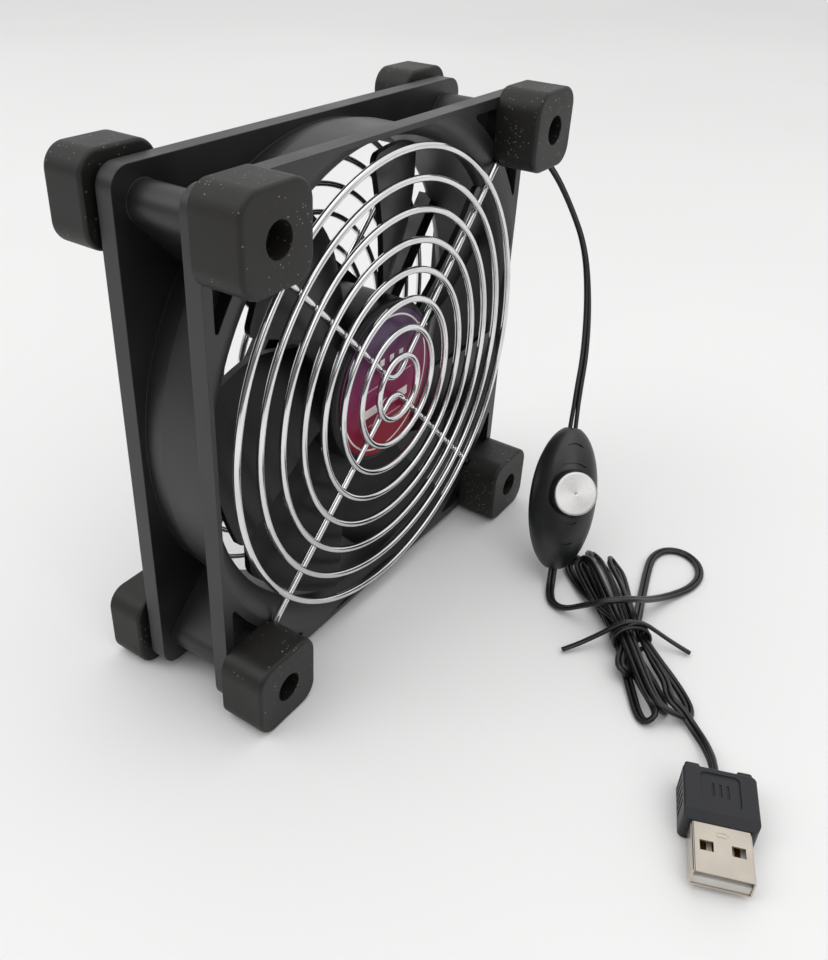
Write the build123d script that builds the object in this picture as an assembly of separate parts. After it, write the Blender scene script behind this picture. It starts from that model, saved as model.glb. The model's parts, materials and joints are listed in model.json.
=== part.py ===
"""A 120 mm USB case fan: square plastic frame, seven-blade impeller on a brushless motor, a chromed
wire guard and four rubber feet on each face, and a thin twin lead with an inline speed control.

X runs across the fan, Y through it from the intake face to the outlet face, and Z up. The origin
is on the surface that the feet stand on, below the middle of the fan. Millimetres and degrees.
"""
from build123d import *
from math import atan2, cos, degrees, radians, sin, sqrt, tan
import os

# Fan frame: the standard 120 mm format
SIDE = 120.0
DEPTH = 25.0
HOLE_PITCH = 105.0
FACE = DEPTH / 2
HOLE = HOLE_PITCH / 2
CORNER_R = 4.5
FLANGE_T = 4.1
FLANGE_IN = FACE - FLANGE_T
SCREW_HOLE_R = 2.15
DUCT_R = 57.2
DUCT_OUT_R = 59.2
DUCT_REAR_R = 58.4
MOUTH_R = 64.0
SIDE_WALL = 1.2
POST_R = 4.3
POCKET_DEPTH = 3.0
POCKET_WALL = 2.6
POCKET_IN_R = 65.5
POCKET_BOSS_R = 9.0

# Motor seat and struts
BASE_R = 22.5
BASE_IN = 10.4
TUBE_R = 5.3
TUBE_BORE_R = 4.03
TUBE_IN = -4.0
TUBE_FLOOR = 11.6
STRUT_OFFSET = 21.6
STRUT_W = 2.8
STRUT_IN = 8.0
LEAD_STRUT_W = 4.6
STRUT_TURN = -39.0
CHANNEL_W = 2.6
CHANNEL_IN = 9.9
CHANNEL_START = 1.5
CLIP_AT = 67.9
CLIP_L = 1.6

# Wire guards
WIRE_R = 0.82
RINGS = 8
RING_IN_R = 8.1
RING_OUT_R = 56.0
GUARD_OUTER_Y = 14.6
GUARD_INNER_Y = 15.9
SPOKE_OUTER_Y = 13.35
SPOKE_INNER_Y = 14.65
SPOKE_MEET_Z = 0.9
SPOKE_BEND_R = 4.5
SPOKE_FLAT_AT = 42.5
EYE_R = 3.4

# Rubber feet
FOOT_SIDE = 19.2
FOOT_CORNER_R = 4.9
FOOT_END = 24.1
FOOT_SEAT = FACE + 0.02
FOOT_FRONT_IN = FOOT_SEAT
FOOT_REAR_IN = 14.0
FOOT_HOLE_R = 3.5
FOOT_SHELF_R = 2.4
FOOT_SHELF = 17.8
EYE_RECESS_R = 4.35
EYE_RECESS = 14.2
WIRE_SLOT_W = 1.8
COLLAR_R = 6.2
AXIS_Z = HOLE + FOOT_SIDE / 2

# Screws
SHANK_R = 2.1
HEAD_R = 3.2
HEAD_H = 2.2
SCREW_TIP = 3.5

# Impeller
HUB_R = 20.7
HUB_IN_R = 19.25
HUB_FRONT = -12.1
HUB_REAR = 7.5
HUB_FACE_T = 1.6
HUB_EDGE_R = 1.4
BOSS_R = 3.5
BOSS_REAR = -6.5
BLADES = 7
BLADE_TIP_R = 55.8
BLADE_T = 1.5
BLADE_CAMBER = 0.055
BLADE_SPARE = 4.0
BLADE_TURN = 69.5
# One blade seen along the axis: radial distance, then sideways place, of its two long edges.
LEADING_EDGE = [(17.0, 4.9), (30.7, 12.1), (39.8, 18.7), (49.3, 26.2)]
TRAILING_EDGE = [(47.3, -8.3), (42.9, -9.9), (34.6, -11.6), (27.8, -11.2), (17.0, -9.6)]
LEADING_TIP_R = 2.0
TRAILING_TIP_R = 4.5
# Blade sections: radial distance, then sideways place and depth of the leading and trailing edge.
BLADE_SECTIONS = [
    (17.0, 5.0, -7.9, -9.6, 3.2),
    (28.0, 10.6, -8.5, -11.2, 1.6),
    (39.0, 18.1, -9.6, -10.9, 0.75),
    (50.0, 26.8, -10.05, -6.7, -0.5),
    (59.0, 33.8, -10.3, 1.0, -2.8),
]

# Rotor and stator
LABEL_R = 18.75
LABEL_T = 0.2
YOKE_R = 19.2
YOKE_T = 0.9
YOKE_REAR = 4.2
MAGNET_IN_R = 16.5
MAGNET_FRONT = -7.0
SHAFT_R = 1.5
SHAFT_FRONT = -11.3
SHAFT_REAR = 9.6
BUSH_R = 4.0
BUSH_BORE_R = 1.55
BUSH_FRONT = -5.6
BUSH_REAR = 8.2
CLIP_FRONT = 8.6
CLIP_REAR = 9.0
CLIP_R = 2.9
GROOVE_R = 1.15
CAP_FRONT = 10.2
STATOR_R = 15.8
STATOR_IN_R = 5.33
STATOR_FRONT = -1.4
STATOR_REAR = 4.4
POLES = 4
POLE_NECK = 3.4
POLE_SHOE_T = 1.6
POLE_GAP = 3.0
BOBBIN_T = 0.8
COIL_T = 2.0
BOARD_R = 18.6
BOARD_FRONT = 8.6
BOARD_REAR = 9.7
REAR_LABEL_R = 20.0

# Inline speed control: an egg-shaped shell that leans on the lead below it
CONTROL_FOOT = (30.4, -50.7, 4.2)
CONTROL_UP = (0.488, 0.209, 0.848)
CONTROL_FACE = (-0.618, -0.608, 0.515)
CONTROL_LEN = 39.4
CONTROL_HALF = (9.4, 6.9, 20.2)
CONTROL_WALL = 1.4
KNOB_UP = 1.8
KNOB_R = 6.2
KNOB_BACK = -5.5
KNOB_FRONT = -9.3
KNOB_SEAT = -5.3
KNOB_SEAT_R = 6.65
KNOB_CAP_R = 5.95
KNOB_CAP_T = 0.5
SPINDLE_R = 2.0
SPINDLE_FRONT = -8.0
POT_FRONT = -3.7
POT_REAR = 1.2
POT_SIDE = 9.6
CONTROL_BOARD_T = 1.2
# Shallow crescents pressed into the shell: distance from the knob's middle and width.
GRIPS = [(7.3, 7.4), (12.7, 4.8), (-7.7, 5.2), (-13.4, 4.8)]
GRIP_RISE = 1.05
GRIP_FLAT = 0.25
GRIP_DEPTH = 0.4
SEAM_W = 0.3
SEAM_DEPTH = 0.3

# USB-A plug, lying flat
PLUG_AT = (-20.75, -113.8)
PLUG_TURN = 201.0
MOULD_L = 13.4
MOULD_W = 15.2
MOULD_H = 7.8
MOULD_SLOPE = (1.9, 1.5)
SHELL_L = 11.6
SHELL_BURIED = 5.0
SHELL_W = 12.0
SHELL_H = 4.5
SHELL_T = 0.35
WINDOW = (2.4, 2.7)
WINDOW_AT = (6.2, 3.1)
STAMP = (2.5, 1.3)
TONGUE_T = 1.9
CONTACTS = 4
CONTACT_PITCH = 2.2
CONTACT_W = 1.1

# Lead: a flat twin lead 2.4 wide and 1.2 thick, kept here as a round of the same section
LEAD_R = 0.88
# Points of the lead in the air, from the clip on the frame to the top of the speed control.
FAN_LEAD = [
    (60.02, 11.2, 101.9),
    (63.2, 11.2, 105.83),
    (66.2, 6.5, 109.0),
    (69.2, -0.5, 109.2),
    (71.5, -8.5, 106.0),
    (73.3, -15.8, 99.4),
    (75.4, -21.5, 90.0),
    (75.5, -27.5, 79.5),
    (72.5, -32.0, 66.5),
    (64.0, -37.0, 54.0),
    (54.21, -40.5, 45.58),
    (48.6, -42.9, 35.83),
]
# Points of the lead on the table, from the foot of the speed control to the tied hank.
LOOP_LEAD = [
    (31.62, -50.18, 6.32),
    (28.67, -51.44, 1.19),
    (24.4, -53.1, 1.1),
    (20.6, -55.6, 1.1),
    (19.6, -59.5, 1.6),
    (19.6, -64.5, 5.5),
    (20.0, -69.8, 10.2),
    (25.2, -74.9, 10.2),
    (31.0, -77.2, 6.6),
    (38.5, -79.2, 3.0),
    (45.0, -81.8, 1.3),
    (51.0, -84.2, 1.1),
    (57.5, -84.4, 1.1),
    (62.8, -81.4, 1.1),
    (65.0, -76.2, 1.1),
    (62.6, -71.6, 1.1),
    (57.0, -70.0, 1.1),
    (50.6, -71.2, 1.1),
    (43.5, -73.0, 1.1),
    (36.0, -74.9, 1.1),
    (28.5, -76.9, 2.2),
    (21.5, -78.8, 4.0),
]
# Points of the lead from the hank to the plug.
PLUG_LEAD = [
    (3.4, -94.2, 3.6),
    (2.2, -98.2, 2.9),
    (-0.2, -102.2, 1.5),
    (-3.9, -106.2, 2.0),
    (-10.49, -109.86, 3.9),
    (-15.9, -111.94, 3.9),
]

# Tied hank of spare lead
HANK_LOW_END = (-3.4, -97.6)
HANK_TURN = 40.8
HANK_L = 64.0
HANK_WAIST = 29.0
HANK_UPPER_W = 14.0
HANK_LOWER_W = 12.6
HANK_WAIST_W = 8.4
HANK_H = 6.4
TIE_L = 3.0
TIE_T = 1.0
TIE_WIRE_R = 0.65
# The two free ends of the wire tie, from the hank's waist outwards.
TIE_ENDS = [
    [(15.35, -74.95, 5.0), (12.2, -71.6, 3.4), (9.2, -68.6, 1.8), (5.6, -65.9, 1.0)],
    [(21.75, -82.4, 5.0), (23.0, -86.0, 3.4), (23.9, -89.4, 1.8), (24.3, -92.8, 1.0)],
]

PLACE = Pos(0, 0, AXIS_Z)


def slab(sketch, near, far):
    """A sketch drawn in X and Z, made solid between two depths along Y."""
    return Pos(0, far, 0) * Rot(90, 0, 0) * extrude(sketch, amount=far - near)


def ring(outer, inner, near, far):
    return slab(Circle(outer) - Circle(inner), near, far)


def turned(*points):
    """A closed outline of radius and depth, revolved about the fan's axis."""
    return revolve(make_face(Polyline(*points, close=True)), Axis.Y)


def spin(angle):
    """A turn about the fan's axis, anticlockwise as seen from the intake side."""
    return Rot(0, -angle, 0)


def four_corners():
    return [(x * HOLE, z * HOLE) for z in (1, -1) for x in (-1, 1)]


def save(node, shape, place=PLACE):
    export_step(place * shape, f"parts/{node}.step")


# ---------------------------------------------------------------- frame

def air_passage():
    """The round duct with a flared mouth at each face, held inside the frame's straight sides."""
    over = FACE + 1
    flare = [(MOUTH_R, FACE), (59.9, 11.4), (DUCT_R, FLANGE_IN - 0.2)]
    front = ThreePointArc(*[(r, -y) for r, y in flare])
    rear = ThreePointArc(*reversed(flare))
    outline = [
        Polyline((0, -over), (MOUTH_R, -over), (MOUTH_R, -FACE)),
        front,
        Line(front @ 1, rear @ 0),
        rear,
        Polyline((MOUTH_R, FACE), (MOUTH_R, over), (0, over), (0, -over)),
    ]
    passage = revolve(make_face(Curve() + outline), Axis.Y)
    width = SIDE - 2 * SIDE_WALL
    return passage & Box(width, DEPTH + 4, width)


def corner_pockets():
    """Two triangular recesses beside each screw boss, as one sketch."""
    sketch = Rectangle(SIDE - 2 * POCKET_WALL, SIDE - 2 * POCKET_WALL) - Circle(POCKET_IN_R)
    for x, z in four_corners():
        sketch -= Pos(x, z) * Circle(POCKET_BOSS_R)
    return fillet(sketch.vertices(), 0.6)


def corner_post(x, z):
    """A screw tube that runs on as a web to the duct."""
    length = sqrt(2) * HOLE - DUCT_OUT_R + 3
    web = Pos(-length / 2, 0) * Rectangle(length, 2 * POST_R) + Circle(POST_R)
    turn = Rot(0, 0, degrees(atan2(z, x)))
    return slab(Pos(x, z) * turn * web, -FLANGE_IN - 0.1, FLANGE_IN + 0.1)


def strut(width):
    """A bar that leaves the motor seat at a tangent and runs out into the duct wall."""
    reach = DUCT_OUT_R - 0.6
    bar = slab(Pos(STRUT_OFFSET, reach / 2 - 3) * Rectangle(width, reach), STRUT_IN, FACE)
    return bar & slab(Circle(reach), STRUT_IN, FACE)


def lead_channel():
    """The open groove in one strut's rear that carries the lead from the motor to the frame's side."""
    groove = Pos(STRUT_OFFSET, CHANNEL_START + SIDE / 2) * Rectangle(CHANNEL_W, SIDE)
    return slab(groove, CHANNEL_IN, FACE + 1)


def motor_seat():
    plate = slab(Circle(BASE_R), BASE_IN, FACE)
    rim = ring(BASE_R, BASE_R - 1.2, STRUT_IN + 1.2, BASE_IN)
    return plate + rim + ring(TUBE_R, TUBE_BORE_R, TUBE_IN, BASE_IN)


def fan_frame():
    flange = RectangleRounded(SIDE, SIDE, CORNER_R)
    frame = slab(flange, -FACE, -FLANGE_IN) + slab(flange, FLANGE_IN, FACE)
    frame += turned(
        (DUCT_R - 2, -FLANGE_IN), (DUCT_OUT_R, -FLANGE_IN), (DUCT_OUT_R, 3.0),
        (DUCT_REAR_R, FLANGE_IN), (DUCT_R - 2, FLANGE_IN))
    for x, z in four_corners():
        frame += corner_post(x, z)
    frame -= air_passage()
    pockets = corner_pockets()
    frame -= slab(pockets, -FACE - 1, -FACE + POCKET_DEPTH)
    frame -= slab(pockets, FACE - POCKET_DEPTH, FACE + 1)
    frame += motor_seat()
    for k in range(4):
        frame += spin(STRUT_TURN + 90 * k) * strut(LEAD_STRUT_W if k == 0 else STRUT_W)
    frame -= spin(STRUT_TURN) * lead_channel()
    frame -= slab(Circle(TUBE_BORE_R), TUBE_IN - 1, TUBE_FLOOR)
    for x, z in four_corners():
        frame -= slab(Pos(x, z) * Circle(SCREW_HOLE_R), -FACE - 1, FACE + 1)
    return frame


# ---------------------------------------------------------------- guards, feet and screws

def guard(side):
    """A wire guard on one face: rings in a shallow dome, two bent spoke wires and four screw eyes."""
    steps = [i / (RINGS - 1) for i in range(RINGS)]
    depth = lambda f: side * (GUARD_INNER_Y + f * (GUARD_OUTER_Y - GUARD_INNER_Y))
    rings = [
        Pos(0, depth(f), 0) * Rot(90, 0, 0) * Torus(RING_IN_R + f * (RING_OUT_R - RING_IN_R), WIRE_R)
        for f in steps]
    eye_reach = HOLE - EYE_R / sqrt(2)
    wires = []
    for up in (1, -1):
        flat = [(r, side * SPOKE_OUTER_Y, up * abs(r)) for r in
                (-eye_reach, -SPOKE_FLAT_AT, SPOKE_FLAT_AT, eye_reach)]
        bend = (0, side * SPOKE_INNER_Y, up * SPOKE_MEET_Z)
        radii = [SPOKE_BEND_R * 3, SPOKE_BEND_R, SPOKE_BEND_R * 3]
        path = FilletPolyline(*flat[:2], bend, *flat[2:], radius=radii)
        wires.append(sweep(Plane(path @ 0, z_dir=path % 0) * Circle(WIRE_R), path=path))
    for x, z in four_corners():
        wires.append(Pos(x, side * SPOKE_OUTER_Y, z) * Rot(90, 0, 0) * Torus(EYE_R, WIRE_R))
    return Part() + rings + wires


def foot(x, z, inner, side):
    """A rubber block with rounded corners, a recess for the screw's head and one that sits over the
    guard's eye and wire. On the outlet side it stands on a low collar."""
    outline = RectangleRounded(FOOT_SIDE, FOOT_SIDE, FOOT_CORNER_R)
    block = slab(outline, inner, FOOT_END)
    block = fillet(block.faces().sort_by(Axis.Y)[-1].edges(), 0.9)
    if inner > FOOT_SEAT:
        block = fillet(block.faces().sort_by(Axis.Y)[0].edges(), 0.8)
        block += slab(Circle(COLLAR_R), FOOT_SEAT, inner)
    slot = Rot(0, 0, degrees(atan2(-z, -x))) * Pos(FOOT_SIDE / 2, 0) * Rectangle(FOOT_SIDE, WIRE_SLOT_W)
    block -= slab(Circle(EYE_RECESS_R) + slot, FOOT_SEAT - 1, EYE_RECESS)
    block -= slab(Circle(FOOT_SHELF_R), FOOT_SEAT - 1, FOOT_END + 1)
    block -= slab(Circle(FOOT_HOLE_R), FOOT_SHELF, FOOT_END + 1)
    if side < 0:
        block = mirror(block, about=Plane.XZ)
    return Pos(x, 0, z) * block


def screws(side):
    """Four self-tapping screws: pan heads in the feet, shanks in the frame's corner tubes."""
    seat = FOOT_SHELF + 0.02
    screw = slab(Circle(SHANK_R), SCREW_TIP, seat + 0.5)
    screw = chamfer(screw.faces().sort_by(Axis.Y)[0].edges(), 0.9)
    head = slab(Circle(HEAD_R), seat, seat + HEAD_H)
    head = fillet(head.faces().sort_by(Axis.Y)[-1].edges(), 1.0)
    cross = Rectangle(3.6, 0.9) + Rectangle(0.9, 3.6)
    screw = screw + head - slab(cross, seat + HEAD_H - 1.1, seat + HEAD_H + 1)
    if side < 0:
        screw = mirror(screw, about=Plane.XZ)
    return Compound([Pos(x, 0, z) * screw for x, z in four_corners()])


# ---------------------------------------------------------------- rotor

def blade_section(reach, lead, lead_y, trail, trail_y):
    """A thin cambered section, longer than the blade at both ends, at one radial distance."""
    chord = Vector(lead - trail, lead_y - trail_y)
    along = chord.normalized()
    across = Vector(along.Y, -along.X)
    start = Vector(trail, trail_y) - along * BLADE_SPARE
    end = Vector(lead, lead_y) + along * BLADE_SPARE
    middle = (start + end) * 0.5 + across * (BLADE_CAMBER * (end - start).length)
    half = across * (BLADE_T / 2)
    upper = ThreePointArc(start + half, middle + half, end + half)
    lower = ThreePointArc(end - half, middle - half, start - half)
    outline = Curve() + [upper, Line(upper @ 1, lower @ 0), lower, Line(lower @ 1, upper @ 0)]
    flat = Plane(origin=(reach, 0, 0), x_dir=(0, 0, 1), z_dir=(-1, 0, 0))
    return flat * make_face(outline)


def blade():
    """One swept blade, reaching along X and leaning forward along Z, cut to its outline."""
    body = loft([blade_section(*row) for row in BLADE_SECTIONS])
    lead = Spline(*LEADING_EDGE)
    trail = Spline(*TRAILING_EDGE)
    tip_middle = (BLADE_TIP_R * cos(radians(13)), BLADE_TIP_R * sin(radians(13)))
    tip_end = (BLADE_TIP_R * cos(radians(-2)), BLADE_TIP_R * sin(radians(-2)))
    corner = LEADING_EDGE[-1]
    tip = ThreePointArc(corner, tip_middle, tip_end)
    outline = make_face(
        Curve() + [lead, tip, Line(tip_end, trail @ 0), trail, Line(trail @ 1, lead @ 0)])
    sharp = outline.vertices()
    outline = fillet(sharp.sort_by_distance((*corner, 0))[0], LEADING_TIP_R)
    outline = fillet(outline.vertices().sort_by_distance((*tip_end, 0))[0], TRAILING_TIP_R)
    return (body & slab(outline, -FACE, FACE)) - slab(Circle(HUB_R - 0.7), -FACE - 1, FACE + 1)


def impeller():
    hub = turned((0, HUB_FRONT), (HUB_R, HUB_FRONT), (HUB_R, HUB_REAR), (HUB_IN_R, HUB_REAR),
                 (HUB_IN_R, HUB_FRONT + HUB_FACE_T), (0, HUB_FRONT + HUB_FACE_T))
    hub = fillet(hub.faces().sort_by(Axis.Y)[0].edges(), HUB_EDGE_R)
    hub += slab(Circle(BOSS_R), HUB_FRONT + 0.5, BOSS_REAR)
    hub -= slab(Circle(SHAFT_R + 0.01), SHAFT_FRONT - 0.05, BOSS_REAR + 1)
    one = blade()
    for k in range(BLADES):
        hub += spin(BLADE_TURN + 360 / BLADES * k) * one
    return hub


def rotor_yoke():
    front = HUB_FRONT + HUB_FACE_T
    return turned((BOSS_R + 0.1, front), (YOKE_R, front), (YOKE_R, YOKE_REAR),
                  (YOKE_R - YOKE_T, YOKE_REAR), (YOKE_R - YOKE_T, front + YOKE_T),
                  (BOSS_R + 0.1, front + YOKE_T))


def rotor_magnet():
    return ring(YOKE_R - YOKE_T - 0.05, MAGNET_IN_R, MAGNET_FRONT, YOKE_REAR)


def rotor_shaft():
    shaft = slab(Circle(SHAFT_R), SHAFT_FRONT, SHAFT_REAR)
    shaft = chamfer(shaft.faces().sort_by(Axis.Y)[-1].edges(), 0.3)
    return shaft - ring(SHAFT_R + 1, GROOVE_R, CLIP_FRONT - 0.05, CLIP_REAR + 0.05)


def shaft_clip():
    """A split ring in the shaft's groove that keeps the rotor from lifting off."""
    clip = Circle(CLIP_R) - Circle(GROOVE_R + 0.03) - Pos(0, CLIP_R) * Rectangle(1.2, 2 * CLIP_R)
    return slab(clip, CLIP_FRONT, CLIP_REAR)


# ---------------------------------------------------------------- stator

def stator_core():
    """A stack of four T-shaped poles."""
    core = Circle(STATOR_IN_R + 2.2)
    shoe = Circle(STATOR_R) - Circle(STATOR_R - POLE_SHOE_T)
    for k in range(POLES):
        neck = Pos(STATOR_R / 2, 0) * Rectangle(STATOR_R - POLE_SHOE_T / 2, POLE_NECK)
        core += Rot(0, 0, 90 * k) * (neck & Circle(STATOR_R - POLE_SHOE_T / 2))
        shoe -= Rot(0, 0, 45 + 90 * k) * Pos(STATOR_R, 0) * Rectangle(6, POLE_GAP)
    return slab(core + shoe - Circle(STATOR_IN_R), STATOR_FRONT, STATOR_REAR)


def pole_places():
    return [spin(90 * k) for k in range(POLES)]


def pole_sleeve(gap, thickness, start, end):
    """A rectangular sleeve around one pole's neck."""
    wide = POLE_NECK + 2 * gap
    deep = STATOR_REAR - STATOR_FRONT + 2 * gap
    middle = (STATOR_FRONT + STATOR_REAR) / 2
    length = end - start
    outer = Box(length, deep + 2 * thickness, wide + 2 * thickness)
    return Pos((start + end) / 2, middle, 0) * (outer - Box(length + 1, deep, wide))


def stator_bobbins():
    start = STATOR_IN_R + 2.3
    end = STATOR_R - POLE_SHOE_T - 0.5
    sleeve = pole_sleeve(0.03, BOBBIN_T, start, end)
    return Compound([place * sleeve for place in pole_places()])


def stator_coils():
    start = STATOR_IN_R + 3.3
    end = STATOR_R - POLE_SHOE_T - 1.0
    coil = pole_sleeve(0.06 + BOBBIN_T, COIL_T, start, end)
    coil = fillet(coil.edges().filter_by(Axis.X).group_by(SortBy.DISTANCE)[-1], 0.8)
    return Compound([place * coil for place in pole_places()])


def motor_board():
    return ring(BOARD_R, TUBE_R + 0.1, BOARD_FRONT, BOARD_REAR)


def board_parts():
    """The drive chip with its hall sensor and two capacitors, on the face towards the stator."""
    chip = Pos(12.4, BOARD_FRONT - 0.65, 0) * Box(4.4, 1.2, 5.0)
    small = Pos(0, BOARD_FRONT - 0.5, 13.2) * Box(2.0, 0.9, 1.4)
    tall = Pos(-12.8, BOARD_FRONT - 0.65, -2.0) * Box(3.2, 1.2, 1.8)
    return Compound([chip, small, tall])


def fan_lead_inside():
    """The lead in the strut's groove, from the board's edge to the clip at the frame's side."""
    start = CHANNEL_START + 1
    end = CLIP_AT - CLIP_L / 2 - 0.1
    bar = Pos(STRUT_OFFSET, (start + end) / 2) * Rectangle(2.2, end - start)
    return spin(STRUT_TURN) * slab(bar, CHANNEL_IN + 0.1, CHANNEL_IN + 1.5)


def lead_clip():
    """A small plug in the end of the groove that grips the lead where it leaves the frame."""
    outline = Pos(STRUT_OFFSET, CLIP_AT) * Rectangle(CHANNEL_W - 0.1, CLIP_L)
    return spin(STRUT_TURN) * slab(outline, CHANNEL_IN + 0.05, FACE)


# ---------------------------------------------------------------- speed control

def control_plane():
    up = Vector(CONTROL_UP)
    across = up.cross(Vector(CONTROL_FACE))
    centre = Vector(CONTROL_FOOT) + up.normalized() * (CONTROL_LEN / 2)
    return Plane(origin=centre, x_dir=across, z_dir=up)


def egg(shrink=0.0):
    wide, deep, tall = (half - shrink for half in CONTROL_HALF)
    return scale(Sphere(1), by=(wide, deep, tall))


def grip_marks():
    """Curved shallow crescents above and below the knob."""
    marks = Part()
    for distance, width in GRIPS:
        side = 1 if distance > 0 else -1
        left, right = (-width / 2, distance), (width / 2, distance)
        bow = ThreePointArc(left, (0, distance + side * GRIP_RISE), right)
        base = ThreePointArc(right, (0, distance + side * GRIP_FLAT), left)
        marks += Pos(0, 0, KNOB_UP) * slab(make_face(Curve() + [bow, base]), -CONTROL_HALF[1] - 1, 0)
    return marks - egg(GRIP_DEPTH)


def control_shells():
    """The front and rear halves of the egg, with the knob's seat in the front one."""
    trimmed = Box(40, 40, CONTROL_LEN)
    solid = egg() & trimmed
    hollow = solid - (egg(CONTROL_WALL) & Box(40, 40, CONTROL_LEN - 6))
    entry = Cylinder(LEAD_R + 0.05, CONTROL_LEN + 1)
    seam = Box(40, SEAM_W, 60) - egg(SEAM_DEPTH)
    front_half = Pos(0, -20.02, 0) * Box(40, 40, 60)
    rear_half = Pos(0, 20.02, 0) * Box(40, 40, 60)
    boss = Pos(0, 0, KNOB_UP) * slab(Circle(KNOB_SEAT_R + 1.2), KNOB_SEAT, KNOB_SEAT + 1.4)
    front = (hollow & front_half) + (boss & solid)
    front -= Pos(0, 0, KNOB_UP) * slab(Circle(KNOB_SEAT_R), -12, KNOB_SEAT)
    front -= Pos(0, 0, KNOB_UP) * slab(Circle(SPINDLE_R + 0.3), -12, 0)
    return front - grip_marks() - seam - entry, (hollow & rear_half) - seam - entry


def knob():
    body = slab(Circle(KNOB_R), KNOB_FRONT, KNOB_BACK)
    body = chamfer(body.faces().sort_by(Axis.Y)[0].edges(), 0.35)
    body -= slab(Circle(KNOB_CAP_R + 0.02), KNOB_FRONT - 1, KNOB_FRONT + KNOB_CAP_T)
    body -= slab(Circle(SPINDLE_R + 0.01), SPINDLE_FRONT - 0.02, KNOB_BACK + 1)
    return Pos(0, 0, KNOB_UP) * body


def knob_cap():
    """The turned metal disc set in the knob's end."""
    cap = slab(Circle(KNOB_CAP_R), KNOB_FRONT - 0.15, KNOB_FRONT + KNOB_CAP_T)
    return Pos(0, 0, KNOB_UP) * fillet(cap.faces().sort_by(Axis.Y)[0].edges(), 0.12)


def control_spindle():
    return Pos(0, 0, KNOB_UP) * slab(Circle(SPINDLE_R), SPINDLE_FRONT, POT_REAR - 1.0)


def potentiometer():
    case = slab(Rectangle(POT_SIDE, POT_SIDE), POT_FRONT, POT_REAR)
    case -= slab(Circle(SPINDLE_R + 0.06), POT_FRONT - 1, POT_REAR - 0.9)
    return Pos(0, 0, KNOB_UP) * case


def control_board():
    return slab(Rectangle(9.6, 20), POT_REAR + 0.05, POT_REAR + 0.05 + CONTROL_BOARD_T)


# ---------------------------------------------------------------- plug

def plug_place():
    return Pos(*PLUG_AT, MOULD_H / 2) * Rot(0, 0, PLUG_TURN)


def plug_overmould():
    """The moulded grip: a sloped front, ribbed sides, two small rear lugs, a shallow panel on top
    with three short bars in it, and a mouth for the shell."""
    body = Box(MOULD_L, MOULD_W, MOULD_H)
    body = fillet(body.edges().filter_by(Axis.Z), 1.3)
    body = fillet(body.faces().sort_by(Axis.Z)[-1].edges(), 0.45)
    body = fillet(body.faces().sort_by(Axis.Z)[0].edges(), 0.45)
    run, drop = MOULD_SLOPE
    front, top = MOULD_L / 2, MOULD_H / 2
    slope = Polyline((front - run, top), (front + run, top), (front + run, top - 2 * drop), close=True)
    body -= slab(make_face(slope), -MOULD_W, MOULD_W)
    lug = fillet(Box(2.4, 3.2, 6.6).edges(), 0.6)
    for side in (1, -1):
        body += Pos(-MOULD_L / 2 - 0.1, side * 5.4, 0) * lug
    for k in range(5):
        for side in (1, -1):
            body -= Pos(-4.6 + 1.75 * k, side * MOULD_W / 2, 0) * Box(0.75, 0.8, MOULD_H - 2.4)
    panel = extrude(RectangleRounded(8.4, 8.0, 1.1), amount=2)
    body -= Pos(-1.1, 0, MOULD_H / 2 - 0.3) * panel
    for k in range(3):
        body -= Pos(-1.1, 1.5 * (k - 1), MOULD_H / 2 - 0.3) * Box(3.4, 0.45, 0.4)
    mouth = Box(SHELL_BURIED + 1, SHELL_W + 0.04, SHELL_H + 0.04)
    body -= Pos(MOULD_L / 2 - SHELL_BURIED / 2 + 0.5, 0, 0) * mouth
    entry = Pos(-MOULD_L / 2, 0, 0) * Rot(0, 90, 0) * Cylinder(LEAD_R + 0.05, 6)
    return body - entry


def plug_shell():
    """The folded metal shell: two latch windows in each broad face, a stamped oval in the top one
    and the slit of the fold along one edge."""
    length = SHELL_L + SHELL_BURIED
    outer = Box(length, SHELL_W, SHELL_H)
    outer = fillet(outer.edges().filter_by(Axis.X), 0.5)
    shell = outer - Box(length + 1, SHELL_W - 2 * SHELL_T, SHELL_H - 2 * SHELL_T)
    for side in (1, -1):
        window = Box(*WINDOW, SHELL_H + 1)
        shell -= Pos(length / 2 - WINDOW_AT[0], side * WINDOW_AT[1], 0) * window
    stamp = SlotOverall(STAMP[0], STAMP[1]) - SlotOverall(STAMP[0] - 0.5, STAMP[1] - 0.5)
    stamp_at = length / 2 - SHELL_L + 2.3
    shell -= Pos(stamp_at, 0, SHELL_H / 2 - 0.12) * Rot(0, 0, 90) * extrude(stamp, amount=1)
    shell -= Pos(0, 0.5 - SHELL_W / 2, SHELL_H / 2) * Box(length + 1, 0.12, 2 * SHELL_T + 0.1)
    return Pos((MOULD_L + SHELL_L - SHELL_BURIED) / 2, 0, 0) * shell


def plug_tongue():
    """The insulator that carries the contacts, with the block that fills the shell behind it."""
    width = SHELL_W - 2 * SHELL_T - 0.1
    height = SHELL_H - 2 * SHELL_T - 0.1
    block = Pos(MOULD_L / 2 - SHELL_BURIED / 2, 0, 0) * Box(SHELL_BURIED, width, height)
    length = SHELL_L - 0.3
    tongue = Box(length, width, TONGUE_T)
    tongue = fillet(tongue.faces().sort_by(Axis.X)[-1].edges().sort_by(Axis.Z)[-1], 0.3)
    return block + Pos(MOULD_L / 2 + length / 2, 0, (TONGUE_T - height) / 2) * tongue


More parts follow.
